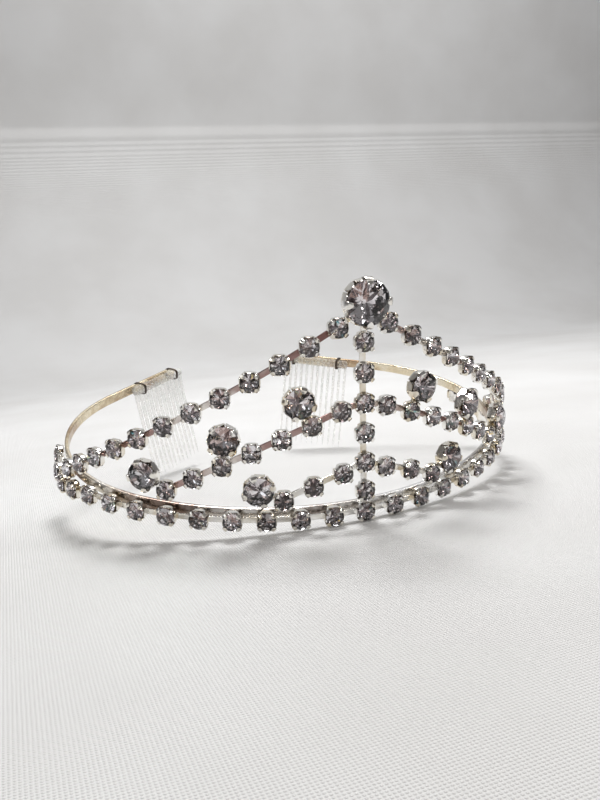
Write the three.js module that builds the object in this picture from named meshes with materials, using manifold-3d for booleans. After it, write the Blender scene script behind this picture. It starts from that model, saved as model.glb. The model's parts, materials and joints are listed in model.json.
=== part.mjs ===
// Bridal tiara: a sprung metal headband carrying rows of small crystal cups, a crest and accents,
// with a clear plastic comb tied inside each end. Millimetres, +Z up, the front faces -Y and
// left is -X. It rests on a level surface on its front cups and on the tips of its comb teeth.

import * as THREE from 'three';
import { mergeVertices } from 'three/addons/utils/BufferGeometryUtils.js';
import Module from 'manifold-3d';

const wasm = await Module();
wasm.setup();

const radians = THREE.MathUtils.degToRad;

// ---- Driving dimensions ----

// Gap kept between pieces that meet.
const clearance = 0.3;

// Headband centreline: a front arc, a tighter arc round each side, and a straight leg at each end.
const frontRadius = 67.4;
const frontHalfSweep = radians(42);
const sideRadius = 42.3;
const sideSweep = radians(99.8);
const legLength = 29;
const bandHeight = 2.6;
const bandThickness = 1.0;
const bandRise = 0.65;

// The headband's plane rises towards the back, against the plane of the base row.
const bandPitch = radians(1.6);

// The crown of rows leans in over the head.
const crownLean = radians(5);

// Crystals, by diameter.
const smallCrystalDiameter = 4.2;
const accentCrystalDiameter = 6.6;
const crestCrystalDiameter = 9.8;

// Proportions of a round crystal, as shares of its radius.
const pavilionShare = 0.65;
const crownShare = 0.34;
const tableShare = 0.55;
const girdleHalfHeight = 0.1;

// Settings: a stamped cup round the crystal, with claws on the larger ones. The foot is the
// narrower bottom of the cup, and the well is the flat bottom inside it.
const cupWall = 0.2;
const cupFloor = 0.25;
const cupFootShare = 0.7;
const cupFootHeightShare = 0.3;
const wellShare = 0.3;
const clawThickness = 0.4;
const accentClawWidth = 1.3;
const crestClawWidth = 1.8;
const clawCount = 4;

// Link bars between cups. A bar runs under each cup's edge by the bite, and lies one inset
// in front of the cups' backs.
const linkWidth = 1.4;
const linkThickness = 0.5;
const linkBite = 0.7;
const linkInset = 0.15;
const shortestLink = 0.4;

// Base row: cups along the outside of the headband, with a gap between neighbours. Near each end
// the row dips and comes back up; the dip's start and span are counted in cups.
const baseCupsPerSide = 13;
const baseGap = 3.0;
const dipDepth = 3.2;
const dipStartCups = 8.5;
const dipSpanCups = 6;

// Centre column, counted up from the base row, and the crest above it.
const columnCups = 6;
const columnGap = 2.15;
const crestGap = 1.15;

// Falling rows. The upper row hangs from the crest, and the others from a cup of the column. The
// first cup lies across firstGap at firstFall below level, and the rest across gap at slope, which
// grows by bend at each cup.
const upperRow = {
  firstGap: 0.63, firstFall: radians(39.4), gap: 2.9, slope: radians(28.4), bend: 0, cups: 12,
};
const middleRow = {
  firstGap: 1.14, firstFall: radians(12.6), gap: 2.68, slope: radians(20.5), bend: radians(1.4), cups: 7,
};
const lowerRow = {
  firstGap: 1.05, firstFall: radians(20.2), gap: 2.65, slope: radians(18), bend: radians(4), cups: 3,
};
const middleCrossing = 3;
const lowerCrossing = 1;

// The row cup that each accent stands on, and its direction from that cup.
const accents = [
  { row: 'middle', cup: 1, direction: radians(61) },
  { row: 'middle', cup: 4, direction: radians(95) },
  { row: 'middle', cup: 6, direction: radians(30) },
  { row: 'lower', cup: 2, direction: radians(26) },
];

// Side combs.
const combWidth = 21.7;
const combOverhang = 0.5;
const spineDiameter = 2.6;
const toothCount = 12;
const toothWidth = 0.85;
const toothDepth = 1.3;
const toothLength = 28.3;
const toothTipShare = 0.45;
const combLean = radians(13.7);

// Wire ties, each centred in a gap between teeth, counted in from the end of the comb.
const tieWire = 0.5;
const tieGapFromEnd = 2;
const tieCornerRadius = 0.9;

// Segments round curved shapes.
const smallSegments = 8;
const accentSegments = 12;
const crestSegments = 16;
const spineSegments = 8;
const frontSegments = 14;
const sideSegments = 24;
const cornerSegments = 2;

// ---- Materials ----

const silver = { color: 0xc9c8c6, roughness: 0.28, metalness: 1 };
const paleGold = { color: 0xd9cfae, roughness: 0.35, metalness: 1 };
const crystal = { color: 0xb9b4bd, roughness: 0.05, metalness: 0.6 };
const clearPlastic = { color: 0xe9eae6, roughness: 0.15, metalness: 0, transparent: true, opacity: 0.5 };
const darkWire = { color: 0x5a5040, roughness: 0.45, metalness: 1 };

// ---- Solids ----

// Shared vertices merged and collapsed triangles left out.
function closedGeometry(geometry) {
  const merged = geometry.clone();
  merged.deleteAttribute('normal');
  merged.deleteAttribute('uv');
  const welded = mergeVertices(merged, 1e-4);
  const corners = Array.from(welded.index.array);
  const kept = [];
  for (let i = 0; i < corners.length; i += 3) {
    const [a, b, c] = corners.slice(i, i + 3);
    if (a !== b && b !== c && c !== a) kept.push(a, b, c);
  }
  welded.setIndex(kept);
  return welded;
}

function solidOf(geometry) {
  const closed = closedGeometry(geometry);
  return new wasm.Manifold(new wasm.Mesh({
    numProp: 3,
    vertProperties: new Float32Array(closed.attributes.position.array),
    triVerts: new Uint32Array(closed.index.array),
  }));
}

function geometryOf(solid) {
  const mesh = solid.getMesh();
  const geometry = new THREE.BufferGeometry();
  geometry.setAttribute('position', new THREE.BufferAttribute(mesh.vertProperties, 3));
  geometry.setIndex(new THREE.BufferAttribute(mesh.triVerts, 1));
  geometry.computeVertexNormals();
  return geometry;
}

function joined(geometries) {
  return geometryOf(geometries.map(solidOf).reduce((whole, piece) => whole.add(piece)));
}

function makeMesh(name, geometry, finish) {
  const mesh = new THREE.Mesh(geometry, new THREE.MeshStandardMaterial(finish));
  mesh.name = name;
  return mesh;
}

// A profile of [radius, height] pairs turned about +Z.
function turned(profile, segments) {
  const points = profile.map(([radius, height]) => new THREE.Vector2(radius, height));
  return closedGeometry(new THREE.LatheGeometry(points, segments).rotateX(Math.PI / 2));
}

// ---- Headband and crown surface ----

const sideStart = frontHalfSweep;
const sideEnd = frontHalfSweep + sideSweep;
const frontCentre = new THREE.Vector2(0, frontRadius);
const sideCentre = frontCentre.clone().add(
  new THREE.Vector2(Math.sin(sideStart), -Math.cos(sideStart)).multiplyScalar(frontRadius - sideRadius));

// The point and heading at a distance round the right-hand half of a curve that runs a fixed
// offset outside the headband's centreline. The distance starts at the front.
function pathAt(distance, offset) {
  const frontLength = (frontRadius + offset) * frontHalfSweep;
  const sideLength = (sideRadius + offset) * sideSweep;
  if (distance <= frontLength) {
    return onArc(frontCentre, frontRadius + offset, distance / (frontRadius + offset));
  }
  if (distance <= frontLength + sideLength) {
    const turn = (distance - frontLength) / (sideRadius + offset);
    return onArc(sideCentre, sideRadius + offset, sideStart + turn);
  }
  const corner = onArc(sideCentre, sideRadius + offset, sideEnd);
  const run = distance - frontLength - sideLength;
  corner.x += run * Math.cos(sideEnd);
  corner.y += run * Math.sin(sideEnd);
  return corner;
}

function onArc(centre, radius, heading) {
  return {
    x: centre.x + radius * Math.sin(heading),
    y: centre.y - radius * Math.cos(heading),
    heading,
  };
}

// Distances along the headband's own centreline.
const bandArcLength = frontRadius * frontHalfSweep + sideRadius * sideSweep;
const bandHalfLength = bandArcLength + legLength;

// A frame on an upright surface round the headband: x runs to the viewer's right round the
// surface, y up it and z out of it. Tilt turns the surface back about its x axis.
function frameAt(distance, offset, tilt) {
  const side = distance < 0 ? -1 : 1;
  const point = pathAt(Math.abs(distance), offset);
  const heading = side * point.heading;
  const along = new THREE.Vector3(Math.cos(heading), Math.sin(heading), 0);
  const level = new THREE.Vector3(Math.sin(heading), -Math.cos(heading), 0);
  const up = level.clone().multiplyScalar(-Math.sin(tilt)).setZ(Math.cos(tilt));
  const out = level.clone().multiplyScalar(Math.cos(tilt)).setZ(Math.sin(tilt));
  const matrix = new THREE.Matrix4().makeBasis(along, up, out);
  return matrix.setPosition(side * point.x, point.y, 0);
}

// Each setting's back lies one clearance outside the headband, even where the crown leans in over
// the headband's top edge. The edge is taken level with the middle of the side arcs.
const bandTop = bandRise + bandHeight / 2 + sideCentre.y * Math.sin(bandPitch);
const backStandoff = bandThickness / 2 + clearance + bandTop * Math.tan(crownLean);
const smallSetting = settingSizes(smallCrystalDiameter);
const accentSetting = settingSizes(accentCrystalDiameter);
const crestSetting = settingSizes(crestCrystalDiameter);
const crownOffset = backStandoff + smallSetting.depth;

// A place on the crown for a setting: the origin is at the middle of the crystal's girdle.
function crownPlace([along, up], setting, spin = 0) {
  const place = frameAt(along, crownOffset, crownLean);
  place.multiply(new THREE.Matrix4().makeTranslation(0, up, setting.depth - smallSetting.depth));
  return place.multiply(new THREE.Matrix4().makeRotationZ(spin));
}

function makeHeadband() {
  const outline = new THREE.Shape();
  const half = bandThickness / 2;
  const stations = [];
  for (let i = 0; i <= frontSegments; i++) stations.push(frontRadius * frontHalfSweep * i / frontSegments);
  for (let i = 1; i <= sideSegments; i++) {
    stations.push(frontRadius * frontHalfSweep + sideRadius * sideSweep * i / sideSegments);
  }
  stations.push(bandHalfLength);
  const round = stations.slice(1).reverse().map((distance) => -distance).concat(stations);
  const corner = (distance, offset) => {
    const at = frameAt(distance, 0, 0).multiply(new THREE.Matrix4().makeTranslation(0, 0, offset));
    return new THREE.Vector2(at.elements[12], at.elements[13]);
  };
  const outer = round.map((distance) => corner(distance, half));
  const inner = round.reverse().map((distance) => corner(distance, -half));
  outline.setFromPoints(outer.concat(inner));
  const strip = new THREE.ExtrudeGeometry(outline, { depth: bandHeight, bevelEnabled: false });
  strip.translate(0, 0, bandRise - bandHeight / 2);
  return makeMesh('headband', closedGeometry(strip), paleGold);
}

// ---- Crystals and settings ----

function settingSizes(crystalDiameter) {
  const crystalRadius = crystalDiameter / 2;
  const rim = -girdleHalfHeight - clearance;
  const well = -pavilionShare * crystalRadius - clearance;
  return {
    crystalRadius,
    cupRadius: crystalRadius + cupWall,
    rim,
    well,
    depth: cupFloor - well,
    clawReach: crystalRadius + clearance + clawThickness,
    crownHeight: crownShare * crystalRadius,
  };
}

function makeCrystal(setting, segments) {
  const radius = setting.crystalRadius;
  return turned([
    [0, -pavilionShare * radius],
    [radius, -girdleHalfHeight],
    [radius, girdleHalfHeight],
    [tableShare * radius, setting.crownHeight],
    [0, setting.crownHeight],
  ], segments);
}

// The foot and wall of a cup, from the middle of its back outwards.
function cupBody(setting) {
  return [
    [0, -setting.depth],
    [cupFootShare * setting.cupRadius, -setting.depth],
    [setting.cupRadius, -setting.depth * (1 - cupFootHeightShare)],
  ];
}

// An open cup whose well follows the crystal's back.
function makeCup(setting, segments) {
  return turned([
    ...cupBody(setting),
    [setting.cupRadius, setting.rim],
    [setting.crystalRadius, setting.rim],
    [wellShare * setting.crystalRadius, setting.well],
    [0, setting.well],
  ], segments);
}

// A cup and its crystal as one piece.
function makeFilledCup(setting, segments) {
  return turned([
    ...cupBody(setting),
    [setting.cupRadius, -girdleHalfHeight],
    [tableShare * setting.crystalRadius, setting.crownHeight],
    [0, setting.crownHeight],
  ], segments);
}

// A claw stands against the outside of the cup and passes the girdle.
function makeClaw(setting, width, turn) {
  const inside = setting.crystalRadius + clearance;
  const foot = -setting.depth * (1 - cupFootHeightShare);
  const outline = new THREE.Shape();
  outline.moveTo(setting.crystalRadius, setting.rim);
  outline.lineTo(setting.crystalRadius, foot);
  outline.lineTo(setting.cupRadius, foot);
  outline.lineTo(setting.clawReach, setting.rim);
  outline.lineTo(setting.clawReach, setting.crownHeight / 2);
  outline.lineTo(inside, setting.crownHeight);
  outline.lineTo(inside, setting.rim);
  const claw = new THREE.ExtrudeGeometry(outline, { depth: width, bevelEnabled: false });
  return claw.translate(0, 0, -width / 2).rotateX(Math.PI / 2).rotateZ(turn);
}

function makeClawedCup(setting, segments, clawWidth) {
  const pieces = [makeCup(setting, segments)];
  for (let i = 0; i < clawCount; i++) {
    pieces.push(makeClaw(setting, clawWidth, (i + 0.5) * 2 * Math.PI / clawCount));
  }
  return joined(pieces);
}

// ---- Rows ----

// A flat bar between two places, keeping to the given distances from their centres.
function makeLink(from, to, fromReach, toReach) {
  const start = new THREE.Vector3().setFromMatrixPosition(from);
  const end = new THREE.Vector3().setFromMatrixPosition(to);
  const length = start.distanceTo(end) - fromReach - toReach;
  const along = end.clone().sub(start).normalize();
  const out = new THREE.Vector3().setFromMatrixColumn(from, 2);
  out.add(new THREE.Vector3().setFromMatrixColumn(to, 2));
  const up = out.clone().cross(along).normalize();
  out.crossVectors(along, up);
  const middle = start.addScaledVector(along, fromReach + length / 2);
  middle.addScaledVector(out, linkThickness / 2 + linkInset - smallSetting.depth);
  const bar = new THREE.BoxGeometry(length, linkWidth, linkThickness);
  return bar.applyMatrix4(new THREE.Matrix4().makeBasis(along, up, out).setPosition(middle));
}

const linkReach = smallSetting.cupRadius - linkBite;

// A bar from a row's end cup that stops short of a neighbouring setting.
function makeEndLink(from, to, neighbourReach) {
  const start = new THREE.Vector3().setFromMatrixPosition(from);
  const end = new THREE.Vector3().setFromMatrixPosition(to);
  const showing = start.distanceTo(end) - smallSetting.cupRadius - neighbourReach - clearance;
  if (showing < shortestLink) return [];
  return [makeLink(from, to, linkReach, neighbourReach + clearance)];
}

function makeRow(name, places, cupShape, endLinks) {
  const frames = places.map((place) => crownPlace(place, smallSetting));
  const pieces = frames.map((frame) => cupShape(smallSetting, smallSegments).applyMatrix4(frame));
  for (let i = 1; i < frames.length; i++) {
    pieces.push(makeLink(frames[i - 1], frames[i], linkReach, linkReach));
  }
  for (const { cup, to, reach } of endLinks) {
    pieces.push(...makeEndLink(frames.at(cup), crownPlace(to, smallSetting), reach));
  }
  return makeMesh(name, joined(pieces), silver);
}

function placed(name, geometry, finish, matrix) {
  const mesh = makeMesh(name, geometry, finish);
  mesh.applyMatrix4(matrix);
  return mesh;
}

function rowCrystals(name, places) {
  return places.map((place, i) => placed(`${name}_crystal_${i + 1}`,
    makeCrystal(smallSetting, smallSegments), crystal, crownPlace(place, smallSetting)));
}

// The places of a falling row's cups, from the [along, up] and the radius of what it hangs from.
function fallingPlaces({ firstGap, firstFall, gap, slope, bend, cups }, [along, up], radius) {
  const places = [stepDown([along, up], radius + smallSetting.cupRadius + firstGap, firstFall)];
  for (let i = 1; i < cups; i++) {
    places.push(stepDown(places[i - 1], 2 * smallSetting.cupRadius + gap, slope + (i - 1) * bend));
  }
  return places;
}

function stepDown([along, up], step, fall) {
  return [along + step * Math.cos(fall), up - step * Math.sin(fall)];
}

const mirrored = (places) => places.map(([along, up]) => [-along, up]);
const sides = [
  { side: 'left', facing: mirrored, sign: -1 },
  { side: 'right', facing: (places) => places, sign: 1 },
];

const basePitch = 2 * smallSetting.cupRadius + baseGap;
const basePlaces = [];
for (let k = -baseCupsPerSide; k <= baseCupsPerSide; k++) {
  const share = Math.max(0, Math.abs(k) - dipStartCups) / dipSpanCups;
  basePlaces.push([k * basePitch, -dipDepth * Math.sin(Math.PI * share) ** 2]);
}

const columnStart = 2 * smallSetting.cupRadius + clearance;
const columnPitch = 2 * smallSetting.cupRadius + columnGap;
const columnPlaces = [];
for (let i = 0; i < columnCups; i++) columnPlaces.push([0, columnStart + i * columnPitch]);

const crestHeight = columnPlaces.at(-1)[1] + smallSetting.cupRadius + crestSetting.cupRadius + crestGap;
const crestPlace = [0, crestHeight];
const upperPlaces = fallingPlaces(upperRow, crestPlace, crestSetting.cupRadius);
const middlePlaces = fallingPlaces(middleRow, columnPlaces[middleCrossing], smallSetting.cupRadius);
const lowerPlaces = fallingPlaces(lowerRow, columnPlaces[lowerCrossing], smallSetting.cupRadius);

function nearestBasePlace([along]) {
  const step = Math.min(baseCupsPerSide, Math.ceil(Math.abs(along) / basePitch));
  return basePlaces[baseCupsPerSide + Math.sign(along) * step];
}

function makeCrown() {
  const crown = new THREE.Group();
  crown.add(makeRow('base_row', basePlaces, makeFilledCup, []));
  crown.add(makeRow('centre_column', columnPlaces, makeCup,
    [{ cup: -1, to: crestPlace, reach: crestSetting.clawReach }]));
  crown.add(...rowCrystals('column', columnPlaces));
  for (const { side, facing } of sides) {
    const upper = facing(upperPlaces);
    const middle = facing(middlePlaces);
    const lower = facing(lowerPlaces);
    const cup = smallSetting.cupRadius;
    crown.add(makeRow(`upper_row_${side}`, upper, makeFilledCup, [
      { cup: 0, to: crestPlace, reach: crestSetting.clawReach },
      { cup: -1, to: nearestBasePlace(upper.at(-1)), reach: cup },
    ]));
    crown.add(makeRow(`middle_row_${side}`, middle, makeCup, [
      { cup: 0, to: columnPlaces[middleCrossing], reach: cup },
    ]));
    crown.add(makeRow(`lower_row_${side}`, lower, makeCup, [
      { cup: 0, to: columnPlaces[lowerCrossing], reach: cup },
    ]));
    crown.add(...rowCrystals(`middle_${side}`, middle));
    crown.add(...rowCrystals(`lower_${side}`, lower));
  }
  return crown;
}

// ---- Crest and accents ----

// The crest is turned so that one of its claws points straight up.
function makeCrest() {
  const turn = Math.PI / clawCount;
  const place = crownPlace(crestPlace, crestSetting, turn);
  const setting = makeClawedCup(crestSetting, crestSegments, crestClawWidth);
  return [
    placed('crest_setting', setting, silver, place),
    placed('crest_crystal', makeCrystal(crestSetting, crestSegments), crystal, place),
  ];
}

function makeAccents() {
  const rows = { middle: middlePlaces, lower: lowerPlaces };
  const distance = smallSetting.cupRadius + accentSetting.cupRadius + clearance;
  const pieces = [];
  for (const { side, sign } of sides) {
    accents.forEach(({ row, cup, direction }, i) => {
      const [along, up] = rows[row][cup];
      const spot = [
        sign * (along + distance * Math.cos(direction)),
        up + distance * Math.sin(direction),
      ];
      const place = crownPlace(spot, accentSetting, sign * direction);
      const setting = makeClawedCup(accentSetting, accentSegments, accentClawWidth);
      const stone = makeCrystal(accentSetting, accentSegments);
      pieces.push(placed(`accent_setting_${side}_${i + 1}`, setting, silver, place));
      pieces.push(placed(`accent_crystal_${side}_${i + 1}`, stone, crystal, place));
    });
  }
  return pieces;
}

// ---- Combs and ties ----

const toothPitch = (combWidth - toothWidth) / (toothCount - 1);
const combDistance = bandHalfLength + combOverhang - combWidth / 2;
const spineInset = bandThickness / 2 + clearance + spineDiameter / 2;

// A tapered tooth that hangs from the origin along -Y.
function makeTooth() {
  const outline = new THREE.Shape();
  const tip = toothTipShare * toothWidth / 2;
  outline.moveTo(-toothWidth / 2, 0);
  outline.lineTo(-tip, -toothLength);
  outline.lineTo(tip, -toothLength);
  outline.lineTo(toothWidth / 2, 0);
  const tooth = new THREE.ExtrudeGeometry(outline, { depth: toothDepth, bevelEnabled: false });
  tooth.translate(0, 0, -toothDepth / 2);
  const corners = tooth.attributes.position;
  for (let i = 0; i < corners.count; i++) {
    const taper = 1 - (1 - toothTipShare) * -corners.getY(i) / toothLength;
    corners.setZ(i, corners.getZ(i) * taper);
  }
  return tooth;
}

function makeComb(side, sign) {
  const spine = new THREE.CylinderGeometry(spineDiameter / 2, spineDiameter / 2, combWidth, spineSegments);
  spine.rotateY(Math.PI / spineSegments).rotateZ(Math.PI / 2);
  const pieces = [spine];
  for (let i = 0; i < toothCount; i++) {
    pieces.push(makeTooth().translate((i - (toothCount - 1) / 2) * toothPitch, 0, 0));
  }
  const place = combFrame(sign).multiply(new THREE.Matrix4().makeRotationX(combLean));
  return placed(`${side}_comb`, joined(pieces), clearPlastic, place);
}

// A frame on the axis of a comb's spine, inside the headband.
function combFrame(sign) {
  const frame = frameAt(sign * combDistance, 0, 0);
  return frame.multiply(new THREE.Matrix4().makeTranslation(0, bandRise, -spineInset));
}

function roundedRectangle(path, width, height, radius) {
  const x = width / 2 - radius;
  const y = height / 2 - radius;
  path.absarc(x, y, radius, 0, Math.PI / 2);
  path.absarc(-x, y, radius, Math.PI / 2, Math.PI);
  path.absarc(-x, -y, radius, Math.PI, 1.5 * Math.PI);
  path.absarc(x, -y, radius, 1.5 * Math.PI, 2 * Math.PI);
  return path;
}

// A square loop of wire round the headband and the spine.
function makeTie(name, sign, end) {
  const insideWidth = bandThickness + spineDiameter + 3 * clearance;
  const insideHeight = Math.max(bandHeight, spineDiameter) + 2 * clearance;
  const outer = roundedRectangle(new THREE.Shape(), insideWidth + 2 * tieWire,
    insideHeight + 2 * tieWire, tieCornerRadius + tieWire);
  outer.holes.push(roundedRectangle(new THREE.Path(), insideWidth, insideHeight, tieCornerRadius));
  const loop = new THREE.ExtrudeGeometry(outer,
    { depth: tieWire, bevelEnabled: false, curveSegments: cornerSegments });
  loop.translate(0, 0, -tieWire / 2).rotateY(Math.PI / 2);
  const distance = sign * (combDistance + end * (toothCount / 2 - tieGapFromEnd) * toothPitch);
  const inset = (spineInset + spineDiameter / 2 - bandThickness / 2) / 2;
  const place = frameAt(distance, 0, 0).multiply(new THREE.Matrix4().makeTranslation(0, bandRise, -inset));
  return placed(name, closedGeometry(loop), darkWire, place);
}

function makeCombSets() {
  const pieces = [];
  for (const { side, sign } of sides) {
    pieces.push(makeComb(side, sign));
    pieces.push(makeTie(`tie_${side}_front`, sign, -1));
    pieces.push(makeTie(`tie_${side}_rear`, sign, 1));
  }
  return pieces;
}

// ---- Assembly ----

function lowestPoint(meshes) {
  return Math.min(...meshes.map((mesh) => new THREE.Box3().setFromObject(mesh, true).min.z));
}

// The tilt at which the base row and the comb tips stand at the same level.
function restingTilt(tiara) {
  const meshes = [];
  tiara.traverse((object) => { if (object.isMesh) meshes.push(object); });
  const combs = meshes.filter((mesh) => mesh.name.endsWith('_comb'));
  const rows = meshes.filter((mesh) => mesh.name === 'base_row');
  let low = 0;
  let high = radians(30);
  const halvings = 40;
  for (let i = 0; i < halvings; i++) {
    tiara.rotation.x = (low + high) / 2;
    tiara.updateMatrixWorld(true);
    if (lowestPoint(combs) < lowestPoint(rows)) low = tiara.rotation.x;
    else high = tiara.rotation.x;
  }
  return (low + high) / 2;
}

const sprungBand = new THREE.Group();
sprungBand.add(makeHeadband(), ...makeCombSets());
sprungBand.rotation.x = bandPitch;

const tiara = new THREE.Group();
tiara.add(sprungBand, makeCrown(), ...makeCrest(), ...makeAccents());
tiara.rotation.x = restingTilt(tiara);
tiara.updateMatrixWorld(true);

// The origin is at the middle of the underside of the tiara's box.
const box = new THREE.Box3().setFromObject(tiara, true);
tiara.position.set(-(box.min.x + box.max.x) / 2, -(box.min.y + box.max.y) / 2, -box.min.z);

const part = new THREE.Group();
part.add(tiara);

export default part;
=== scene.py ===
"""Bridal tiara: the looks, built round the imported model.

Sizes are in millimetres in the tiara's own frame, where the headband's front is at the origin and
its rows stand up along +Z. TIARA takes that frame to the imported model's, which is in metres.
"""

import json
import math
import random

import bpy
from mathutils import Matrix, Vector


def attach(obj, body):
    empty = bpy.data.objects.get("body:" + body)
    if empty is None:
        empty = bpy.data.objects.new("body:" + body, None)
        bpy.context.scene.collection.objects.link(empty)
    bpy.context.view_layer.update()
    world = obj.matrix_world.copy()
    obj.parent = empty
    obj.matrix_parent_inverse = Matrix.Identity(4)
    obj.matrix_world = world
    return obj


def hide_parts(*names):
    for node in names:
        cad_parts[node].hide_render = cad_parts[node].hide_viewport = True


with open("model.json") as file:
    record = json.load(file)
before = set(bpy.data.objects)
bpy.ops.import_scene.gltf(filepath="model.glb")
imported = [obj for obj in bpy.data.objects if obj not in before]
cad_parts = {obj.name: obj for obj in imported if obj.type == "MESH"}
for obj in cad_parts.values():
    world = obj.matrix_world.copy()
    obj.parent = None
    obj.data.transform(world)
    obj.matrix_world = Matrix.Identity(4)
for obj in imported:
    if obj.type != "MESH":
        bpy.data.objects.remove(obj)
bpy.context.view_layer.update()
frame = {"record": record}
record = frame["record"]

MM = 0.001
UP = Vector((0, 0, 1))

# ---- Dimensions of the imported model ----

CLEARANCE = 0.3

FRONT_RADIUS = 67.4
FRONT_HALF_SWEEP = math.radians(42)
SIDE_RADIUS = 42.3
SIDE_SWEEP = math.radians(99.8)
LEG_LENGTH = 29
BAND_HEIGHT = 2.6
BAND_THICKNESS = 1.0
BAND_RISE = 0.65
BAND_PITCH = math.radians(1.6)
CROWN_LEAN = math.radians(5)

SMALL_DIAMETER = 4.2
ACCENT_DIAMETER = 6.6
CREST_DIAMETER = 9.8
PAVILION_SHARE = 0.65
CROWN_SHARE = 0.34
TABLE_SHARE = 0.55
GIRDLE_HALF_HEIGHT = 0.1
CUP_WALL = 0.2
CUP_FLOOR = 0.25
CLAW_THICKNESS = 0.4

LINK_WIDTH = 1.4
LINK_THICKNESS = 0.5
LINK_BITE = 0.7
LINK_INSET = 0.15

BASE_CUPS_PER_SIDE = 13
BASE_GAP = 3.0
DIP_DEPTH = 3.2
DIP_START_CUPS = 8.5
DIP_SPAN_CUPS = 6

COLUMN_CUPS = 6
COLUMN_GAP = 2.15
CREST_GAP = 1.15

# Falling rows: first gap, first fall, gap, slope, bend (falls in degrees) and number of cups.
UPPER_ROW = (0.63, 39.4, 2.9, 28.4, 0, 12)
MIDDLE_ROW = (1.14, 12.6, 2.68, 20.5, 1.4, 7)
LOWER_ROW = (1.05, 20.2, 2.65, 18, 4, 3)
MIDDLE_CROSSING = 3
LOWER_CROSSING = 1
ACCENTS = (("middle", 1, 61), ("middle", 4, 95), ("middle", 6, 30), ("lower", 2, 26))

COMB_WIDTH = 21.7
COMB_OVERHANG = 0.5
SPINE_DIAMETER = 2.6
TOOTH_COUNT = 12
TOOTH_WIDTH = 0.85
TOOTH_DEPTH = 1.3
TOOTH_LENGTH = 28.3
TOOTH_TIP_SHARE = 0.45
COMB_LEAN = math.radians(13.7)
TIE_GAP_FROM_END = 2

# ---- The tiara's frame ----

BAND_ARC_LENGTH = FRONT_RADIUS * FRONT_HALF_SWEEP + SIDE_RADIUS * SIDE_SWEEP
BAND_HALF_LENGTH = BAND_ARC_LENGTH + LEG_LENGTH
SIDE_END = FRONT_HALF_SWEEP + SIDE_SWEEP
FRONT_CENTRE = Vector((0, FRONT_RADIUS))
SIDE_CENTRE = FRONT_CENTRE + (FRONT_RADIUS - SIDE_RADIUS) * Vector(
    (math.sin(FRONT_HALF_SWEEP), -math.cos(FRONT_HALF_SWEEP)))


def on_arc(centre, radius, heading):
    return centre + radius * Vector((math.sin(heading), -math.cos(heading))), heading


def path_at(distance, offset):
    """Point and heading at a distance round the right half of a curve outside the headband's centreline."""
    front = (FRONT_RADIUS + offset) * FRONT_HALF_SWEEP
    side = (SIDE_RADIUS + offset) * SIDE_SWEEP
    if distance <= front:
        return on_arc(FRONT_CENTRE, FRONT_RADIUS + offset, distance / (FRONT_RADIUS + offset))
    if distance <= front + side:
        turn = (distance - front) / (SIDE_RADIUS + offset)
        return on_arc(SIDE_CENTRE, SIDE_RADIUS + offset, FRONT_HALF_SWEEP + turn)
    corner, heading = on_arc(SIDE_CENTRE, SIDE_RADIUS + offset, SIDE_END)
    return corner + (distance - front - side) * Vector((math.cos(SIDE_END), math.sin(SIDE_END))), heading


def basis(along, up, out, origin):
    matrix = Matrix((along, up, out)).transposed().to_4x4()
    matrix.translation = origin
    return matrix


def frame_at(distance, offset, tilt):
    """x runs round an upright surface to the viewer's right, y up it and z out of it."""
    side = -1 if distance < 0 else 1
    point, heading = path_at(abs(distance), offset)
    heading *= side
    along = Vector((math.cos(heading), math.sin(heading), 0))
    level = Vector((math.sin(heading), -math.cos(heading), 0))
    up = -math.sin(tilt) * level + math.cos(tilt) * UP
    out = math.cos(tilt) * level + math.sin(tilt) * UP
    return basis(along, up, out, Vector((side * point.x, point.y, 0)))


def move(x, y, z):
    return Matrix.Translation((x, y, z))


def band_place(distance, inset=0.0):
    """A place on the headband's centreline, or inset behind it. The headband is pitched against the rows."""
    return Matrix.Rotation(BAND_PITCH, 4, "X") @ frame_at(distance, 0, 0) @ move(0, BAND_RISE, -inset)


def find_tiara_matrix():
    """The right end of the headband is a mount, which gives the tilt and the place of the whole frame."""
    mount = next(m for m in record["mounts"] if m["name"] == "right_band_end")
    axis = Vector(mount["axis"])
    turn = Matrix.Rotation(math.atan2(axis.z, axis.y) - BAND_PITCH, 4, "X")
    end = band_place(BAND_HALF_LENGTH).translation
    return Matrix.Translation(Vector(mount["pos_m"]) - MM * (turn @ end)) @ turn @ Matrix.Scale(MM, 4)


TIARA = find_tiara_matrix()


class Setting:
    """Sizes of a cup that fits a crystal of this diameter. The origin is the middle of the girdle."""

    def __init__(self, diameter, panels, slot, claw_width):
        self.radius = diameter / 2
        self.cup = self.radius + CUP_WALL
        self.rim = -GIRDLE_HALF_HEIGHT - CLEARANCE
        self.depth = CUP_FLOOR + PAVILION_SHARE * self.radius + CLEARANCE
        self.reach = self.radius + CLEARANCE + CLAW_THICKNESS
        self.crown = CROWN_SHARE * self.radius
        self.panels = panels
        self.slot = slot
        self.claw_width = claw_width


SMALL = Setting(SMALL_DIAMETER, panels=4, slot=0.7, claw_width=1.0)
ACCENT = Setting(ACCENT_DIAMETER, panels=8, slot=0.4, claw_width=1.5)
CREST = Setting(CREST_DIAMETER, panels=12, slot=0.45, claw_width=1.7)

BAND_TOP = BAND_RISE + BAND_HEIGHT / 2 + SIDE_CENTRE.y * math.sin(BAND_PITCH)
BACK_STANDOFF = BAND_THICKNESS / 2 + CLEARANCE + BAND_TOP * math.tan(CROWN_LEAN)
CROWN_OFFSET = BACK_STANDOFF + SMALL.depth


def crown_place(place, setting=SMALL, spin=0.0):
    along, up = place
    matrix = frame_at(along, CROWN_OFFSET, CROWN_LEAN) @ move(0, up, setting.depth - SMALL.depth)
    return matrix @ Matrix.Rotation(spin, 4, "Z")


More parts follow.
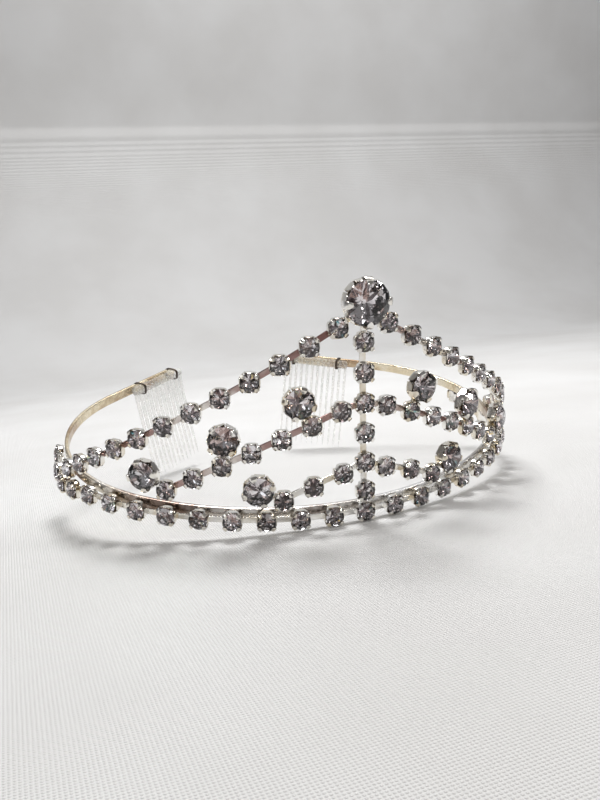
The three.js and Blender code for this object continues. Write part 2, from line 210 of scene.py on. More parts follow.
def step_down(place, step, fall):
    return place[0] + step * math.cos(fall), place[1] - step * math.sin(fall)


def falling_places(row, start, radius):
    first_gap, first_fall, gap, slope, bend, cups = row
    places = [step_down(start, radius + SMALL.cup + first_gap, math.radians(first_fall))]
    for i in range(1, cups):
        fall = math.radians(slope + (i - 1) * bend)
        places.append(step_down(places[-1], 2 * SMALL.cup + gap, fall))
    return places


def mirrored(places):
    return [(-along, up) for along, up in places]


def base_place(k):
    share = max(0, abs(k) - DIP_START_CUPS) / DIP_SPAN_CUPS
    return k * (2 * SMALL.cup + BASE_GAP), -DIP_DEPTH * math.sin(math.pi * share) ** 2


BASE_PLACES = [base_place(k) for k in range(-BASE_CUPS_PER_SIDE, BASE_CUPS_PER_SIDE + 1)]
COLUMN_START = 2 * SMALL.cup + CLEARANCE
COLUMN_PLACES = [(0, COLUMN_START + i * (2 * SMALL.cup + COLUMN_GAP)) for i in range(COLUMN_CUPS)]
CREST_PLACE = (0, COLUMN_PLACES[-1][1] + SMALL.cup + CREST.cup + CREST_GAP)
UPPER_PLACES = falling_places(UPPER_ROW, CREST_PLACE, CREST.cup)
MIDDLE_PLACES = falling_places(MIDDLE_ROW, COLUMN_PLACES[MIDDLE_CROSSING], SMALL.cup)
LOWER_PLACES = falling_places(LOWER_ROW, COLUMN_PLACES[LOWER_CROSSING], SMALL.cup)

# ---- Meshes ----


class Shape:
    """A mesh under construction, in the tiara's frame."""

    def __init__(self):
        self.points = []
        self.faces = []
        self.slots = []

    def add(self, points, faces, matrix=None, slot=0):
        start = len(self.points)
        self.points += [matrix @ Vector(p) if matrix else Vector(p) for p in points]
        self.faces += [[start + i for i in face] for face in faces]
        self.slots += [slot] * len(faces)

    def loft(self, rings, matrix=None, slot=0):
        """A skin over rings of equal length, capped at both ends."""
        count = len(rings[0])
        faces = []
        for i in range(len(rings) - 1):
            a = i * count
            b = a + count
            faces += [[a + j, a + (j + 1) % count, b + (j + 1) % count, b + j] for j in range(count)]
        faces.append(list(range(count))[::-1])
        faces.append([(len(rings) - 1) * count + j for j in range(count)])
        self.add([p for ring in rings for p in ring], faces, matrix, slot)

    def build(self, name, body, materials, smooth_angle=40, replaces=()):
        mesh = bpy.data.meshes.new(name)
        mesh.from_pydata([TIARA @ p for p in self.points], [], self.faces)
        for material in materials:
            mesh.materials.append(material)
        mesh.polygons.foreach_set("material_index", self.slots)
        if smooth_angle:
            mesh.shade_smooth()
            mesh.set_sharp_from_angle(angle=math.radians(smooth_angle))
        mesh.validate()
        mesh.update()
        piece = bpy.data.objects.new(name, mesh)
        bpy.context.scene.collection.objects.link(piece)
        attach(piece, body)
        if replaces:
            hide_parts(*replaces)


def rounded_point(width, height, power, turn):
    """A point on an outline between an ellipse (power 2) and a rectangle (a high power)."""
    x = math.copysign(abs(math.cos(turn)) ** (2 / power), math.cos(turn))
    y = math.copysign(abs(math.sin(turn)) ** (2 / power), math.sin(turn))
    return x * width / 2, y * height / 2


def rounded_section(width, height, power, count):
    """The closed outline of a rounded bar, as (x, y) pairs."""
    return [rounded_point(width, height, power, 2 * math.pi * (i + 0.5) / count) for i in range(count)]


# Slots of a crystal's bright foil and of its foils with painted dark reflection, painted warm reflection and
# painted coloured glints, and how often each is drawn.
FOIL_SLOTS = (1, 2, 3, 4)
RIM_FACET_WEIGHTS = (70, 12, 16, 2)
POINT_FACET_WEIGHTS = (32, 40, 27, 1)

# A crystal's outline, as shares of its radius.
SHOULDER_SHARE = 0.8
WAIST_SHARE = 0.26


def crystal_shape(setting, matrix, shape):
    """A round cut crystal: the crown is clear glass (slot 0), and each back facet has its own foil, some
    with painted reflections.
    """
    radius = setting.radius
    girdle = GIRDLE_HALF_HEIGHT
    crown = setting.crown
    back = -PAVILION_SHARE * radius
    shoulder = SHOULDER_SHARE * radius
    waist = WAIST_SHARE * radius
    half = math.cos(math.pi / 8)
    crown_run = (shoulder * half - TABLE_SHARE * radius) / (radius - TABLE_SHARE * radius)
    shoulder_z = crown + (girdle - crown) * crown_run
    waist_z = back + (-girdle - back) * waist * half / radius

    def ring(r, z, count, offset):
        turns = [2 * math.pi * (i + offset) / count for i in range(count)]
        return [(r * math.cos(t), r * math.sin(t), z) for t in turns]

    points = ring(TABLE_SHARE * radius, crown, 8, 0) + ring(shoulder, shoulder_z, 8, 0.5)
    points += ring(radius, girdle, 16, 0) + ring(radius, -girdle, 16, 0)
    points += ring(waist, waist_z, 8, 0) + [(0, 0, back)]
    table, middle, top, bottom, low, point = 0, 8, 16, 32, 48, 56
    front_faces = [list(range(table, table + 8))]
    back_faces = []
    for i in range(8):
        n = (i + 1) % 8
        p = (i - 1) % 8
        g = 2 * i
        front_faces.append([table + i, middle + i, table + n])
        front_faces.append([table + i, middle + p, top + g, middle + i])
        front_faces.append([middle + i, top + g, top + g + 1])
        front_faces.append([middle + i, top + g + 1, top + 2 * n])
        back_faces.append([low + i, bottom + (g - 1) % 16, bottom + g])
        back_faces.append([low + i, bottom + g, bottom + g + 1])
        back_faces.append([point, low + i, bottom + g + 1, low + n])
    for j in range(16):
        n = (j + 1) % 16
        front_faces.append([top + j, bottom + j, bottom + n, top + n])
    shape.add(points, front_faces + back_faces, matrix)
    # Every third back facet runs in to the point. Those get the painted dark reflection more often than the
    # ones at the rim.
    weights = (RIM_FACET_WEIGHTS, RIM_FACET_WEIGHTS, POINT_FACET_WEIGHTS)
    foils = [random.choices(FOIL_SLOTS, weights[i % 3])[0] for i in range(len(back_faces))]
    shape.slots[-len(back_faces):] = foils


# A cup's wall starts at this share of its radius and bends out over the lowest part of its height.
WALL_FOOT_SHARE = 0.76
WALL_BEND_END = 0.3
WALL_RISE_POWER = 1.15


def cup_profile(setting, t):
    """Radius and height of the outside of a cup's wall, from its foot (t = 0) to its rim (t = 1)."""
    bend = min(1.0, t / WALL_BEND_END)
    radius = setting.cup * (WALL_FOOT_SHARE + (1 - WALL_FOOT_SHARE) * math.sin(bend * math.pi / 2))
    return radius, -setting.depth + (setting.rim + setting.depth) * t ** WALL_RISE_POWER


# A plate's distance from the axis and the furthest its corners reach, as shares of the cup's radius.
PLATE_SHARE = 0.98
PLATE_CORNER = 1.07


def add_panel(shape, setting, middle, half_angle, matrix):
    """One stamped wall plate: flat, with rounded top corners. Its inside gets a dark painted shade (slot 1).
    """
    columns = 6
    rows = 5
    outer = []
    inner = []
    for row in range(rows + 1):
        for column in range(columns + 1):
            across = 2 * column / columns - 1
            corner = 1 - 0.22 * abs(across) ** 4
            t = row / rows * corner
            radius, height = cup_profile(setting, t)
            radius *= PLATE_SHARE * min(PLATE_CORNER, 1 / math.cos(across * half_angle))
            turn = middle + across * half_angle
            for points, r in ((outer, radius), (inner, radius - CUP_WALL)):
                points.append((r * math.cos(turn), r * math.sin(turn), height))
    width = columns + 1
    count = len(outer)
    quads = [[r * width + c, r * width + c + 1, (r + 1) * width + c + 1, (r + 1) * width + c]
             for r in range(rows) for c in range(columns)]
    edge = list(range(width)) + [r * width + columns for r in range(1, rows + 1)]
    edge += [rows * width + c for c in range(columns - 1, -1, -1)]
    edge += [r * width for r in range(rows - 1, 0, -1)]
    sides = [[edge[i - 1] + count, edge[i] + count, edge[i], edge[i - 1]] for i in range(len(edge))]
    shape.add(outer + inner, quads + sides + [[i + count for i in quad[::-1]] for quad in quads], matrix)
    # The plate's inner faces take the dark painted shade of slot 1.
    shape.slots[-len(quads):] = [1] * len(quads)


def add_claw(shape, setting, turn, matrix):
    """A rounded tab that rises from the wall and folds over the crystal's crown."""
    radius = setting.radius
    width = setting.claw_width
    thick = 0.14 * math.sqrt(radius)
    lift = thick / 2 + 0.04
    outside = setting.cup + thick / 2
    slope = (setting.crown - GIRDLE_HALF_HEIGHT) / (radius - TABLE_SHARE * radius)
    path = [
        (setting.cup * 0.97, -0.62 * setting.depth, 0.75),
        (outside, -0.4 * setting.depth, 0.95),
        (outside + 0.04, setting.rim, 1.0),
        (outside + 0.06, GIRDLE_HALF_HEIGHT, 1.0),
        (radius * 0.99, GIRDLE_HALF_HEIGHT + lift + 0.08 * radius, 0.98),
        (radius * 0.9, GIRDLE_HALF_HEIGHT + lift + slope * 0.1 * radius, 0.85),
        (radius * 0.82, GIRDLE_HALF_HEIGHT + lift + slope * 0.18 * radius, 0.55),
        (radius * 0.79, GIRDLE_HALF_HEIGHT + lift * 0.8 + slope * 0.21 * radius, 0.25),
    ]
    rings = []
    for i, (r, z, share) in enumerate(path):
        before = path[max(0, i - 1)]
        after = path[min(len(path) - 1, i + 1)]
        run = Vector((after[0] - before[0], after[1] - before[1])).normalized()
        normal = Vector((run.y, -run.x))
        section = rounded_section(width * share, thick * (0.6 + 0.4 * share), 3.0, 10)
        rings.append([(r + y * normal.x, x, z + y * normal.y) for x, y in section])
    shape.loft(rings, matrix @ Matrix.Rotation(turn, 4, "Z"))


# A cup's foot from its underside to its top: share of the cup's radius, and height.
FOOT_PROFILE = ((0.3, 0.0), (0.6, 0.0), (0.72, 0.05), (0.74, 0.16), (0.7, 0.24), (0.3, 0.26))
FOOT_SIDES = 24
CLAW_COUNT = 4


def add_cup(shape, setting, matrix, claw_turn):
    """A stamped cup: a domed foot, wall panels with slots between them, and four claws."""
    turns = [2 * math.pi * i / FOOT_SIDES for i in range(FOOT_SIDES)]
    foot_rings = []
    for radius_share, height in FOOT_PROFILE:
        r = radius_share * setting.cup
        foot_rings.append([(r * math.cos(t), r * math.sin(t), height - setting.depth) for t in turns])
    shape.loft(foot_rings, matrix)
    share = 2 * math.pi / setting.panels
    slot_width = setting.slot / setting.cup
    for i in range(setting.panels):
        middle = claw_turn + (i + 0.5) * share
        add_panel(shape, setting, middle, share / 2 - slot_width / 2, matrix)
    for i in range(CLAW_COUNT):
        add_claw(shape, setting, claw_turn + 2 * math.pi * i / CLAW_COUNT, matrix)


def add_bar(shape, start, end, out, width, thickness, slot=0, sink=0.0):
    """A flat bar with rounded edges between two points, lying with its thickness along out."""
    along = (end - start).normalized()
    up = out.cross(along).normalized()
    out = along.cross(up)
    rings = []
    for share in (0.0, 0.25, 0.5, 0.75, 1.0):
        centre = start.lerp(end, share) - sink * math.sin(math.pi * share) * out
        rings.append([centre + x * up + y * out for x, y in rounded_section(width, thickness, 6.0, 16)])
    shape.loft(rings, slot=slot)


def add_link(shape, start, end, start_reach, end_reach, slot):
    """The link bar between two cups, at the height of their backs."""
    a = start.translation
    b = end.translation
    out = (start.col[2].to_3d() + end.col[2].to_3d()).normalized()
    along = (b - a).normalized()
    lift = (LINK_THICKNESS / 2 + LINK_INSET - SMALL.depth) * out
    add_bar(shape, a + along * start_reach + lift, b - along * end_reach + lift, out,
            LINK_WIDTH, LINK_THICKNESS, slot, sink=0.03)


LINK_REACH = SMALL.cup - LINK_BITE

# ---- Materials ----


def new_material(name):
    material = bpy.data.materials.new(name)
    material.use_nodes = True
    return material, material.node_tree.nodes, material.node_tree.links


def noise(nodes, links, scale, detail=3.0, roughness=0.5):
    """Noise on true positions; scale is in features per millimetre."""
    texture = nodes.new("ShaderNodeTexNoise")
    texture.inputs["Scale"].default_value = scale / MM
    texture.inputs["Detail"].default_value = detail
    texture.inputs["Roughness"].default_value = roughness
    position = nodes.new("ShaderNodeTexCoord")
    links.new(position.outputs["Object"], texture.inputs["Vector"])
    return texture.outputs["Fac"]


def ramp(nodes, links, value, stops):
    node = nodes.new("ShaderNodeValToRGB")
    elements = node.color_ramp.elements
    while len(elements) < len(stops):
        elements.new(0.5)
    for element, (position, colour) in zip(elements, stops):
        element.position = position
        element.color = (*colour, 1)
    links.new(value, node.inputs["Fac"])
    return node.outputs["Color"]


def grey(level):
    return (level, level, level)


def add_bump(nodes, links, shader, height, depth, strength=1.0):
    bump = nodes.new("ShaderNodeBump")
    bump.inputs["Strength"].default_value = strength
    bump.inputs["Distance"].default_value = depth * MM
    links.new(height, bump.inputs["Height"])
    links.new(bump.outputs["Normal"], shader.inputs["Normal"])


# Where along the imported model's Y the headband's silver turns to pale gold.
REAR_BLEND_START = -30
REAR_BLEND_END = 12


def blend_to_rear(nodes, links, front, rear):
    """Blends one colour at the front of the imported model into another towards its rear."""
    position = nodes.new("ShaderNodeTexCoord")
    split = nodes.new("ShaderNodeSeparateXYZ")
    links.new(position.outputs["Object"], split.inputs["Vector"])
    share = nodes.new("ShaderNodeMapRange")
    share.inputs["From Min"].default_value = REAR_BLEND_START * MM
    share.inputs["From Max"].default_value = REAR_BLEND_END * MM
    links.new(split.outputs["Y"], share.inputs["Value"])
    blend = nodes.new("ShaderNodeMixRGB")
    links.new(share.outputs["Result"], blend.inputs["Fac"])
    links.new(front, blend.inputs["Color1"])
    links.new(rear, blend.inputs["Color2"])
    return blend.outputs["Color"]


# The noise value that gives the first colour, and how much higher the last colour's is.
NOISE_LOW = 0.36
NOISE_SPAN = 0.28


def patchy_colour(nodes, links, value, colours):
    """Spreads colours evenly over the middle of a noise value's range."""
    stops = [(NOISE_LOW + NOISE_SPAN * i / (len(colours) - 1), colour) for i, colour in enumerate(colours)]
    return ramp(nodes, links, value, stops)


def plated_metal(name, colours, patch_scale, roughness, grain_scale, grain_depth, rear_colours=None):
    """Plated metal: colour wanders over patches, with a fine grain that scatters and dents the shine.

    Rear colours, where there are any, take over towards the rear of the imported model.
    """
    material, nodes, links = new_material(name)
    shader = nodes["Principled BSDF"]
    shader.inputs["Metallic"].default_value = 1.0
    patches = noise(nodes, links, patch_scale, 4.0, 0.6)
    plate = patchy_colour(nodes, links, patches, colours)
    if rear_colours:
        plate = blend_to_rear(nodes, links, plate, patchy_colour(nodes, links, patches, rear_colours))
    links.new(plate, shader.inputs["Base Color"])
    grain = noise(nodes, links, grain_scale, 5.0, 0.65)
    low, high = roughness
    links.new(ramp(nodes, links, grain, [(0.3, grey(low)), (0.7, grey(high))]), shader.inputs["Roughness"])
    add_bump(nodes, links, shader, grain, grain_depth)
    return material


def crystal_glass():
    material, nodes, links = new_material("crystal_glass")
    shader = nodes["Principled BSDF"]
    shader.inputs["Transmission Weight"].default_value = 1.0
    shader.inputs["IOR"].default_value = 1.58
    tint = noise(nodes, links, 0.25, 2.0)
    links.new(ramp(nodes, links, tint, [(0.35, (0.93, 0.9, 0.93)), (0.65, (0.97, 0.98, 1.0))]),
              shader.inputs["Base Color"])
    haze = noise(nodes, links, 2.5, 4.0)
    links.new(ramp(nodes, links, haze, [(0.45, grey(0.004)), (0.8, grey(0.04))]), shader.inputs["Roughness"])
    return material


def crystal_foil(name, colours):
    """Foil on a crystal's back: silvering that wanders in tone, with a faint haze."""
    material, nodes, links = new_material(name)
    shader = nodes["Principled BSDF"]
    shader.inputs["Metallic"].default_value = 1.0
    tone = noise(nodes, links, 0.45, 2.0)
    links.new(patchy_colour(nodes, links, tone, colours), shader.inputs["Base Color"])
    grain = noise(nodes, links, 3.0, 3.0)
    links.new(ramp(nodes, links, grain, [(0.3, grey(0.015)), (0.7, grey(0.06))]), shader.inputs["Roughness"])
    return material


def clear_plastic():
    """Clear moulded plastic with a faint flow haze."""
    material, nodes, links = new_material("clear_plastic")
    shader = nodes["Principled BSDF"]
    shader.inputs["Transmission Weight"].default_value = 0.86
    shader.inputs["IOR"].default_value = 1.12
    flow = noise(nodes, links, 0.3, 3.0)
    links.new(ramp(nodes, links, flow, [(0.35, (0.93, 0.94, 0.92)), (0.65, (0.99, 0.97, 0.96))]),
              shader.inputs["Base Color"])
    haze = noise(nodes, links, 1.5, 4.0)
    links.new(ramp(nodes, links, haze, [(0.3, grey(0.16)), (0.75, grey(0.32))]), shader.inputs["Roughness"])
    return material


def soft_cloth():
    """The pale cloth floor: a fine plain weave."""
    material, nodes, links = new_material("floor_cloth")
    shader = nodes["Principled BSDF"]
    shader.inputs["Roughness"].default_value = 0.9
    shader.inputs["Specular IOR Level"].default_value = 0.1
    tone = noise(nodes, links, 0.012, 3.0)
    links.new(ramp(nodes, links, tone, [(0.35, (0.78, 0.775, 0.765)), (0.65, (0.84, 0.84, 0.835))]),
              shader.inputs["Base Color"])
    position = nodes.new("ShaderNodeTexCoord")
    weave = []
    for direction in ("X", "Y"):
        wave = nodes.new("ShaderNodeTexWave")
        wave.bands_direction = direction
        wave.inputs["Scale"].default_value = 0.55 / MM
        wave.inputs["Distortion"].default_value = 0.6
        links.new(position.outputs["Object"], wave.inputs["Vector"])
        weave.append(wave.outputs["Fac"])
    mix = nodes.new("ShaderNodeMath")
    mix.operation = "MULTIPLY"
    links.new(weave[0], mix.inputs[0])
    links.new(weave[1], mix.inputs[1])
    add_bump(nodes, links, shader, mix.outputs["Value"], 0.2, 0.9)
    return material


SILVER = plated_metal("silver_plate", [(0.72, 0.64, 0.50), (0.86, 0.83, 0.77), (0.92, 0.91, 0.89)],
                      0.16, (0.06, 0.18), 2.2, 0.022)
# Dark brown painted shade for the insides of the cup plates, where the hollows fall in shade.
CUP_INSIDE_SHADE = plated_metal("cup_inside_painted_shade", [(0.16, 0.10, 0.07), (0.30, 0.22, 0.16)], 0.6, (0.3, 0.5), 3.0, 0.02)
LINK_METAL = plated_metal("link_metal", [(0.20, 0.11, 0.10), (0.36, 0.24, 0.22), (0.76, 0.72, 0.68)],
                          0.05, (0.14, 0.3), 2.5, 0.02)
PALE_GOLD = plated_metal("pale_gold_plate", [(0.20, 0.15, 0.13), (0.62, 0.59, 0.56), (0.86, 0.86, 0.86)],
                         0.07, (0.16, 0.32), 1.6, 0.02,
                         rear_colours=[(0.40, 0.28, 0.18), (0.74, 0.64, 0.46), (0.85, 0.81, 0.72)])
TIE_WIRE = plated_metal("tie_wire", [(0.04, 0.03, 0.025), (0.13, 0.10, 0.08)], 0.8, (0.5, 0.68), 3.5, 0.02)
GLASS = crystal_glass()
FOILS = [
    crystal_foil("bright_foil", [(0.88, 0.84, 0.83), (0.97, 0.97, 0.98)]),
    # Painted dark and warm reflections, like the ones internal reflection makes on a cut stone's facets.
    crystal_foil("painted_dark_reflection_foil", [(0.12, 0.10, 0.10), (0.34, 0.29, 0.30)]),
    crystal_foil("painted_warm_reflection_foil", [(0.44, 0.32, 0.28), (0.80, 0.69, 0.66)]),
    # Painted coloured glints: the fire that a cut stone's dispersion makes, painted into its foil.
    crystal_foil("painted_fire_glint_foil", [(0.20, 0.66, 0.78), (0.86, 0.66, 0.28)]),
]
PLASTIC = clear_plastic()

CUP_METALS = [SILVER, CUP_INSIDE_SHADE, LINK_METAL]
CRYSTAL = [GLASS, *FOILS]

# ---- Headband ----


def build_headband():
    steps = 180
    rings = []
    for i in range(-steps, steps + 1):
        place = band_place(BAND_HALF_LENGTH * i / steps)
        end = 1.0 - 0.5 * max(0.0, abs(i) - (steps - 2)) / 2
        section = rounded_section(BAND_THICKNESS, BAND_HEIGHT * end, 7.0, 20)
        rings.append([place @ Vector((0, y, x)) for x, y in section])
    strip = Shape()
    strip.loft(rings)
    strip.build("headband_strip", "tiara", [PALE_GOLD], replaces=["headband"])


# ---- Rows ----


# Solder that joins a setting to its neighbour or to the headband.
SOLDER_WIDTH = 1.5
SOLDER_THICKNESS = 0.7
SOLDER_DEPTH_SHARE = 0.7
SOLDERED_BASE_CUPS = 8
TAB_LIFT = 0.9
TAB_BITE_IN_CUP = 0.2
TAB_BITE_IN_BAND = 0.1

# The base cup, counted from the middle one, that each upper row comes down to.
UPPER_ROW_LANDING = 11


def add_solder(shape, start, end, start_reach, end_reach):
    """A short blob of solder between two settings, at the backs of their cups."""
    depth = SOLDER_DEPTH_SHARE * SMALL.depth
    a = start.translation - depth * start.col[2].to_3d().normalized()
    b = end.translation - depth * end.col[2].to_3d().normalized()
    along = (b - a).normalized()
    add_bar(shape, a + along * start_reach, b - along * end_reach, start.col[2].to_3d(),
            SOLDER_WIDTH, SOLDER_THICKNESS)


def add_band_tabs(shape):
    """A tab behind every second base cup that joins it to the headband."""
    reach = BACK_STANDOFF - BAND_THICKNESS / 2 + TAB_BITE_IN_BAND
    for k in range(-SOLDERED_BASE_CUPS, SOLDERED_BASE_CUPS + 1, 2):
        place = crown_place(base_place(k))
        cup_end = place @ Vector((0, TAB_LIFT, TAB_BITE_IN_CUP - SMALL.depth))
        band_end = place @ Vector((0, TAB_LIFT, -SMALL.depth - reach))
        add_bar(shape, cup_end, band_end, place.col[1].to_3d(), SOLDER_WIDTH, SOLDER_THICKNESS)


def build_row(name, places, node, end_bars=(), link_slot=2, solder=(), tabs=False):
    row = Shape()
    frames = [crown_place(place) for place in places]
    for matrix in frames:
        add_cup(row, SMALL, matrix, math.pi / 4)
    for a, b in zip(frames, frames[1:]):
        add_link(row, a, b, LINK_REACH, LINK_REACH, link_slot)
    for cup, target, reach in solder:
        add_solder(row, frames[cup], target, LINK_REACH, reach)
    if tabs:
        add_band_tabs(row)
    for cup, target, reach in end_bars:
        add_link(row, frames[cup], target, LINK_REACH, reach, link_slot)
    row.build(name, "tiara", CUP_METALS, replaces=[node])


def build_crystals(prefix, places, node_prefix=None, setting=SMALL):
    for i, place in enumerate(places):
        stone = Shape()
        spin = random.uniform(0, math.pi / 4)
        crystal_shape(setting, crown_place(place) @ Matrix.Rotation(spin, 4, "Z"), stone)
        nodes = [f"{node_prefix}_{i + 1}"] if node_prefix else []
        stone.build(f"{prefix}_{i + 1}", "tiara", CRYSTAL, smooth_angle=0, replaces=nodes)


def build_rows():
    crest = crown_place(CREST_PLACE, CREST)
    crest_solder = CREST.cup - LINK_BITE
    build_row("base_row_cups", BASE_PLACES, "base_row", link_slot=0, tabs=True)
    build_crystals("base_row_stone", BASE_PLACES)
    build_row("centre_column_cups", COLUMN_PLACES, "centre_column", link_slot=0,
              solder=[(0, crown_place(base_place(0)), LINK_REACH), (-1, crest, crest_solder)])
    build_crystals("column_stone", COLUMN_PLACES, "column_crystal")
    for side in ("left", "right"):
        facing = mirrored if side == "left" else list
        upper = facing(UPPER_PLACES)
        middle = facing(MIDDLE_PLACES)
        lower = facing(LOWER_PLACES)
        landing = base_place(-UPPER_ROW_LANDING if side == "left" else UPPER_ROW_LANDING)
        build_row(f"upper_row_{side}_cups", upper, f"upper_row_{side}",
                  [(-1, crown_place(landing), LINK_REACH)], solder=[(0, crest, crest_solder)])
        build_crystals(f"upper_row_{side}_stone", upper)
        build_row(f"middle_row_{side}_cups", middle, f"middle_row_{side}",
                  [(0, crown_place(COLUMN_PLACES[MIDDLE_CROSSING]), LINK_REACH)])
        build_crystals(f"middle_row_{side}_stone", middle, f"middle_{side}_crystal")
        build_row(f"lower_row_{side}_cups", lower, f"lower_row_{side}",
                  [(0, crown_place(COLUMN_PLACES[LOWER_CROSSING]), LINK_REACH)], link_slot=0)
        build_crystals(f"lower_row_{side}_stone", lower, f"lower_{side}_crystal")


def build_large_stone(name, setting, place, cup_node, stone_node, claw_turn, stands_on=None):
    cup = Shape()
    add_cup(cup, setting, place, claw_turn)
    if stands_on:
        add_solder(cup, place, stands_on, setting.cup - LINK_BITE, LINK_REACH)
    cup.build(f"{name}_cup", "tiara", CUP_METALS, replaces=[cup_node])
    stone = Shape()
    crystal_shape(setting, place @ Matrix.Rotation(random.uniform(0, math.pi / 4), 4, "Z"), stone)
    stone.build(f"{name}_stone", "tiara", CRYSTAL, smooth_angle=0, replaces=[stone_node])


def build_large_stones():
    quarter = math.pi / 4
    build_large_stone("crest", CREST, crown_place(CREST_PLACE, CREST, quarter),
                      "crest_setting", "crest_crystal", quarter)
    rows = {"middle": MIDDLE_PLACES, "lower": LOWER_PLACES}
    distance = SMALL.cup + ACCENT.cup + CLEARANCE
    for side, sign in (("left", -1), ("right", 1)):
        for i, (row, cup, degrees) in enumerate(ACCENTS):
            direction = math.radians(degrees)
            along, up = rows[row][cup]
            spot = (sign * (along + distance * math.cos(direction)), up + distance * math.sin(direction))
            place = crown_place(spot, ACCENT, sign * direction)
            stands_on = crown_place((sign * along, up))
            build_large_stone(f"accent_{side}_{i + 1}", ACCENT, place, f"accent_setting_{side}_{i + 1}",
                              f"accent_crystal_{side}_{i + 1}", quarter, stands_on)


# ---- Combs ----

TOOTH_PITCH = (COMB_WIDTH - TOOTH_WIDTH) / (TOOTH_COUNT - 1)
TOOTH_BOW = 0.35
TOOTH_STATIONS = 12
# Where a tooth starts to round off, and how blunt it ends, as shares of its length and its section's area.
TOOTH_TIP_START = 0.97
TOOTH_BLUNTNESS = 0.06
# The moulded spine's thickness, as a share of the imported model's.
SPINE_SHARE = 0.98
COMB_DISTANCE = BAND_HALF_LENGTH + COMB_OVERHANG - COMB_WIDTH / 2
SPINE_INSET = BAND_THICKNESS / 2 + CLEARANCE + SPINE_DIAMETER / 2


def build_comb(side, sign):
    place = band_place(sign * COMB_DISTANCE, SPINE_INSET)
    place = place @ Matrix.Rotation(COMB_LEAN, 4, "X")
    comb = Shape()
    rings = []
    half = COMB_WIDTH / 2
    for x, share in ((-half, 0.75), (-half + 0.3, 0.95), (-half + 0.8, 1.0),
                     (half - 0.8, 1.0), (half - 0.3, 0.95), (half, 0.75)):
        across = SPINE_DIAMETER * share * SPINE_SHARE
        section = rounded_section(across, across, 2.4, 20)
        rings.append([(x, a, b) for a, b in section])
    comb.loft(rings, place)
    for i in range(TOOTH_COUNT):
        x = (i - (TOOTH_COUNT - 1) / 2) * TOOTH_PITCH
        tooth = []
        for j in range(TOOTH_STATIONS + 1):
            run = j / TOOTH_STATIONS
            taper = 1 - (1 - TOOTH_TIP_SHARE) * run
            past = max(0.0, (run - TOOTH_TIP_START) / (1 - TOOTH_TIP_START))
            tip = math.sqrt(max(TOOTH_BLUNTNESS, 1 - past ** 2))
            bow = TOOTH_BOW * math.sin(math.pi * run)
            section = rounded_section(TOOTH_WIDTH * taper * tip, TOOTH_DEPTH * taper * tip, 3.0, 10)
            tooth.append([(x + a, -TOOTH_LENGTH * run, b + bow) for a, b in section])
        comb.loft(tooth, place)
    comb.build(f"{side}_comb_moulding", f"{side}_comb", [PLASTIC], replaces=[f"{side}_comb"])


def build_tie(name, sign, end):
    """Fine wire wound round the headband and the spine, in a gap between teeth."""
    wire = 0.26
    turns = 3
    step = 0.29
    points_per_turn = 40
    wire_sides = 8
    distance = sign * (COMB_DISTANCE + end * (TOOTH_COUNT / 2 - TIE_GAP_FROM_END) * TOOTH_PITCH)
    inset = (SPINE_INSET + SPINE_DIAMETER / 2 - BAND_THICKNESS / 2) / 2
    place = band_place(distance, inset)
    depth = BAND_THICKNESS + SPINE_DIAMETER + 2.4 * CLEARANCE + wire
    height = SPINE_DIAMETER + CLEARANCE + wire
    count = points_per_turn * turns
    centres = []
    for i in range(count + 1):
        turn = 2 * math.pi * i / points_per_turn
        z, y = rounded_point(depth, height, 3.6, turn)
        centres.append(Vector((step * (i / points_per_turn - turns / 2), y, z)))
    tie = Shape()
    rings = []
    for i, centre in enumerate(centres):
        run = (centres[min(count, i + 1)] - centres[max(0, i - 1)]).normalized()
        side = Vector((1, 0, 0))
        out = run.cross(side).normalized()
        side = out.cross(run)
        rings.append([centre + wire / 2 * (math.cos(t) * side + math.sin(t) * out)
                      for t in [2 * math.pi * j / wire_sides for j in range(wire_sides)]])
    tie.loft(rings, place)
    tie.build(f"{name}_winding", "tiara", [TIE_WIRE], replaces=[name])


# ---- Stage ----

# The camera stands in the tiara's own frame, so it keeps its view of the rows.
CAMERA_PLACE = (-70.3, -140.7, 85.65)
CAMERA_AZIMUTH = math.radians(-21.5)
CAMERA_ELEVATION = math.radians(20.93)
LENS_MM = 35.1


def build_camera():
    back = Vector((math.sin(CAMERA_AZIMUTH) * math.cos(CAMERA_ELEVATION),
                   -math.cos(CAMERA_AZIMUTH) * math.cos(CAMERA_ELEVATION), math.sin(CAMERA_ELEVATION)))
    data = bpy.data.cameras.new("camera")
    data.lens = LENS_MM
    data.sensor_width = 36
    data.clip_start = 0.01
    camera = bpy.data.objects.new("camera", data)
    view = back.to_track_quat("Z", "Y").to_matrix().to_4x4()
    camera.matrix_world = TIARA @ move(*CAMERA_PLACE) @ view @ Matrix.Scale(1 / MM, 4)
    bpy.context.scene.collection.objects.link(camera)
    bpy.context.scene.camera = camera


def area_light(name, place, aim, size, power, colour=(1, 1, 1)):
    data = bpy.data.lights.new(name, "AREA")
    data.size = size * MM
    data.energy = power
    data.color = colour
    light = bpy.data.objects.new(name, data)
    light.location = Vector(place) * MM
    light.rotation_euler = (Vector(aim) * MM - light.location).to_track_quat("-Z", "Y").to_euler()
    bpy.context.scene.collection.objects.link(light)


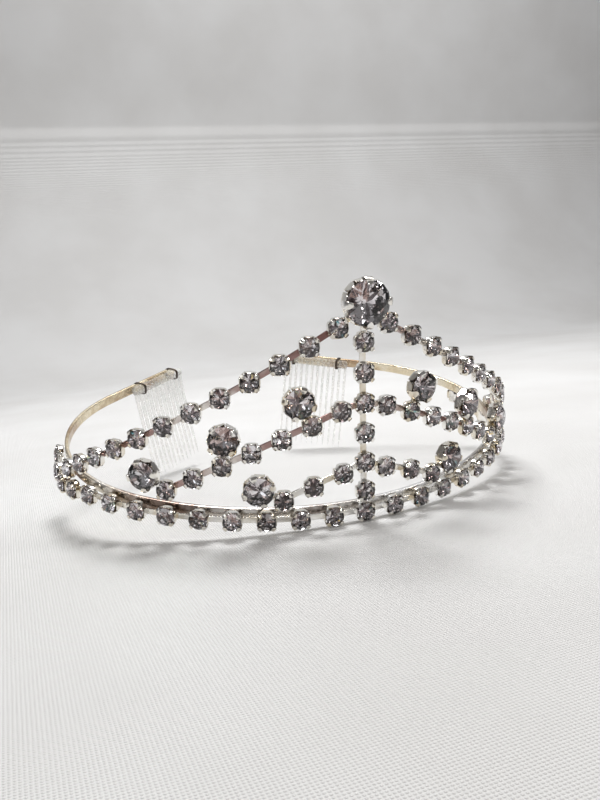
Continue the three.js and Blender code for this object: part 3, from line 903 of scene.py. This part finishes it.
def build_stage():
    """A pale cloth that curves up behind the tiara and, further off, in front of it."""
    half_width = 1500
    back_bend_start = 420
    front_bend_start = 1300
    bend_radius = 260
    wall_height = 1500
    bend_steps = 24
    bend = []
    for i in range(1, bend_steps + 1):
        turn = math.radians(90) * i / bend_steps
        bend.append((bend_radius * math.sin(turn), bend_radius * (1 - math.cos(turn))))
    bend.append((bend_radius, wall_height))
    front = [(-front_bend_start - y, z) for y, z in reversed(bend)]
    # The two middle rows of points keep the bends' smooth shading from spreading over the whole floor.
    flat = [(-front_bend_start, 0), (-300, 0), (0, 0), (back_bend_start, 0)]
    back = [(back_bend_start + y, z) for y, z in bend]
    profile = front + flat + back
    points = [MM * Vector((x, y, z)) for y, z in profile for x in (-half_width, half_width)]
    faces = [[2 * i, 2 * i + 1, 2 * i + 3, 2 * i + 2] for i in range(len(profile) - 1)]
    mesh = bpy.data.meshes.new("floor")
    mesh.from_pydata(points, [], faces)
    mesh.shade_smooth()
    mesh.materials.append(soft_cloth())
    floor = bpy.data.objects.new("floor", mesh)
    bpy.context.scene.collection.objects.link(floor)


def build_lights():
    world = bpy.data.worlds.new("room")
    world.use_nodes = True
    world.node_tree.nodes["Background"].inputs["Color"].default_value = (0.80, 0.78, 0.80, 1)
    world.node_tree.nodes["Background"].inputs["Strength"].default_value = 0.21
    bpy.context.scene.world = world
    bpy.context.scene.view_settings.view_transform = "Standard"
    area_light("overhead", (40, 190, 500), (0, 0, 20), 180, 1.98)
    area_light("left_window", (-420, -60, 260), (0, 0, 20), 220, 0.15, (0.95, 0.98, 1.0))
    area_light("backdrop_wash", (280, 200, 700), (330, 680, 250), 600, 2.6)
    sparkle_places = ((120, -330, 260), (-230, -260, 330), (-60, -380, 120), (260, -240, 150),
                      (-350, -120, 160), (20, -240, 400), (330, -60, 260))
    for place in sparkle_places:
        area_light("front_sparkle", place, (0, -20, 25), 24, 0.09, (1.0, 0.97, 0.93))


# ---- Assembly ----

random.seed(7)
build_camera()
build_headband()
build_rows()
build_large_stones()
for side, sign in (("left", -1), ("right", 1)):
    build_comb(side, sign)
    build_tie(f"tie_{side}_front", sign, -1)
    build_tie(f"tie_{side}_rear", sign, 1)
build_stage()
build_lights()
